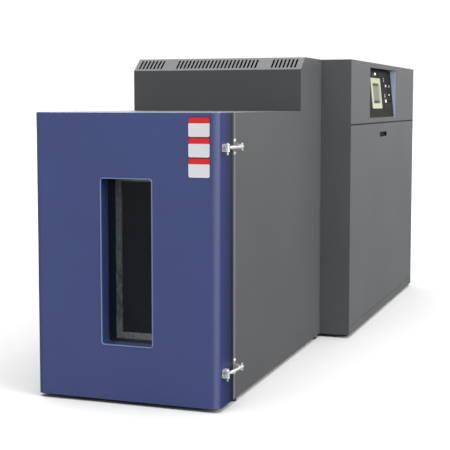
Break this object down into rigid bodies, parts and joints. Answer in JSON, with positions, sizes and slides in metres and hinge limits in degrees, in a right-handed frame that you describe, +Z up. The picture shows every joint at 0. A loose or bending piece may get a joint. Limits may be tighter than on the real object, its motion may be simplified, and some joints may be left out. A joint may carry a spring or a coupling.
{
  "type": "environmental test chamber",
  "caption": "Long floor-standing climatic chamber: blue insulated door with a tall window, grey body with a louvred hood, and a wider machine cabinet with a recessed control panel.",
  "frame": {"origin": "on the floor under the middle of the overall length and width", "axes": "+Z up, the door faces -Y, the control panel faces +X"},
  "size_m": [1.44, 4.2, 1.8],
  "materials": {
    "frame_paint": "satin",
    "black_rubber": "matte",
    "grey_paint": "satin",
    "blue_paint": "satin",
    "stainless": "brushed",
    "bright_stainless": "polished",
    "mineral_wool": "fibrous",
    "coil_aluminium": "mill",
    "motor_enamel": "satin",
    "soft_silicone": "matte",
    "jamb_steel": "satin",
    "clear_glass": "clear",
    "black_plastic": "matte",
    "chrome_plate": "polished",
    "black_paint": "satin",
    "gloss_black": "gloss",
    "cream_plastic": "satin",
    "screen_glass": "gloss",
    "lamp_white": "gloss",
    "metal_knob": "satin",
    "black_enamel": "gloss",
    "copper": "drawn",
    "white_plastic": "matte",
    "zinc_plate": "zinc plated"
  },
  "bodies": {
    "chamber": {"base_frame": "frame_paint", "levelling_feet": "black_rubber", "cabinet_frame": "frame_paint", "body_side_right": "grey_paint", "body_side_left": "grey_paint", "body_top": "grey_paint", "hood_cover": "grey_paint", "front_frame": "grey_paint", "chamber_liner": "stainless", "wall_insulation": "mineral_wool", "air_baffle": "stainless", "evaporator_coil": "coil_aluminium", "heater_bank": "stainless", "circulation_motor": "motor_enamel", "cable_port": "stainless", "cable_port_plug": "soft_silicone", "hinge_body_leaves": "chrome_plate", "hinge_pins": "chrome_plate", "latch_keepers": "chrome_plate", "cabinet_front_strips": "grey_paint", "cabinet_top": "grey_paint", "cabinet_left_panel": "grey_paint", "rear_panel": "grey_paint", "power_inlet": "black_plastic", "control_fascia": "grey_paint", "cabinet_plinth": "grey_paint", "panel_catches": "stainless", "recess_tray": "black_paint", "control_plate": "gloss_black", "touch_bezel": "cream_plastic", "touch_screen": "screen_glass", "indicator_lamps": "lamp_white", "compressors": "black_enamel", "condenser_coil": "coil_aluminium", "condenser_motor": "motor_enamel", "refrigerant_pipes": "copper", "humidifier_tank": "white_plastic", "electrical_plate": "zinc_plate"},
    "door": {"door_shell": "blue_paint", "door_core": "mineral_wool", "door_inner_panel": "stainless", "door_gasket": "black_rubber", "window_jamb": "jamb_steel", "window_panes": "clear_glass", "window_spacer": "black_plastic", "window_inner_frame": "bright_stainless", "hinge_door_leaves": "chrome_plate", "latch_clevises": "chrome_plate"},
    "upper_bolt": {"upper_swing_bolt": "chrome_plate"},
    "upper_nut": {"upper_wing_nut": "chrome_plate"},
    "lower_bolt": {"lower_swing_bolt": "chrome_plate"},
    "lower_nut": {"lower_wing_nut": "chrome_plate"},
    "service_panel": {"access_panel": "grey_paint", "panel_pull": "black_plastic"},
    "power_switch": {"power_knob": "metal_knob"},
    "start_key": {"start_button": "black_plastic"},
    "light_key": {"light_button": "lamp_white"},
    "mute_key": {"mute_button": "lamp_white"},
    "circulation_blower": {"circulation_fan": "stainless"},
    "condenser_blower": {"condenser_fan": "black_plastic"}
  },
  "joints": [
    {"name": "door_hinge", "type": "hinge", "parent": "chamber", "child": "door", "pos_m": [-0.512, -1.93, 1.305], "axis": [0, 0, -1], "range_deg": [0, 110]},
    {"name": "upper_bolt_swing", "type": "hinge", "parent": "door", "child": "upper_bolt", "pos_m": [0.549, -2.052, 1.305], "axis": [0, 0, -1], "range_deg": [-5.5, 115]},
    {"name": "upper_nut_spin", "type": "hinge", "parent": "upper_bolt", "child": "upper_nut", "pos_m": [0.5651, -1.88477, 1.305], "axis": [0.0958, 0.9954, 0], "continuous": true},
    {"name": "lower_bolt_swing", "type": "hinge", "parent": "door", "child": "lower_bolt", "pos_m": [0.549, -2.052, 0.19], "axis": [0, 0, -1], "range_deg": [-5.5, 115]},
    {"name": "lower_nut_spin", "type": "hinge", "parent": "lower_bolt", "child": "lower_nut", "pos_m": [0.5651, -1.88477, 0.19], "axis": [0.0958, 0.9954, 0], "continuous": true},
    {"name": "access_panel_tilt", "type": "hinge", "parent": "chamber", "child": "service_panel", "pos_m": [0.72, 0.97, 0.075], "axis": [0, 1, 0], "range_deg": [0, 15]},
    {"name": "power_knob_turn", "type": "hinge", "parent": "chamber", "child": "power_switch", "pos_m": [0.68242, 1.08, 1.64664], "axis": [-0.9946, 0, -0.1035], "range_deg": [0, 90]},
    {"name": "start_press", "type": "slide", "parent": "chamber", "child": "start_key", "axis": [0.9946, 0, 0.1035], "range_m": [-0.004, 0], "stiffness_N_per_m": 500, "springref_m": 0.002},
    {"name": "light_press", "type": "slide", "parent": "chamber", "child": "light_key", "axis": [0.9946, 0, 0.1035], "range_m": [-0.004, 0], "stiffness_N_per_m": 500, "springref_m": 0.002},
    {"name": "mute_press", "type": "slide", "parent": "chamber", "child": "mute_key", "axis": [0.9946, 0, 0.1035], "range_m": [-0.004, 0], "stiffness_N_per_m": 500, "springref_m": 0.002},
    {"name": "circulation_fan_spin", "type": "hinge", "parent": "chamber", "child": "circulation_blower", "pos_m": [0.0225, -0.492, 1.29], "axis": [0, 0, 1], "continuous": true},
    {"name": "condenser_fan_spin", "type": "hinge", "parent": "chamber", "child": "condenser_blower", "pos_m": [0, 1.878, 0.462], "axis": [0, 1, 0], "continuous": true}
  ]
}
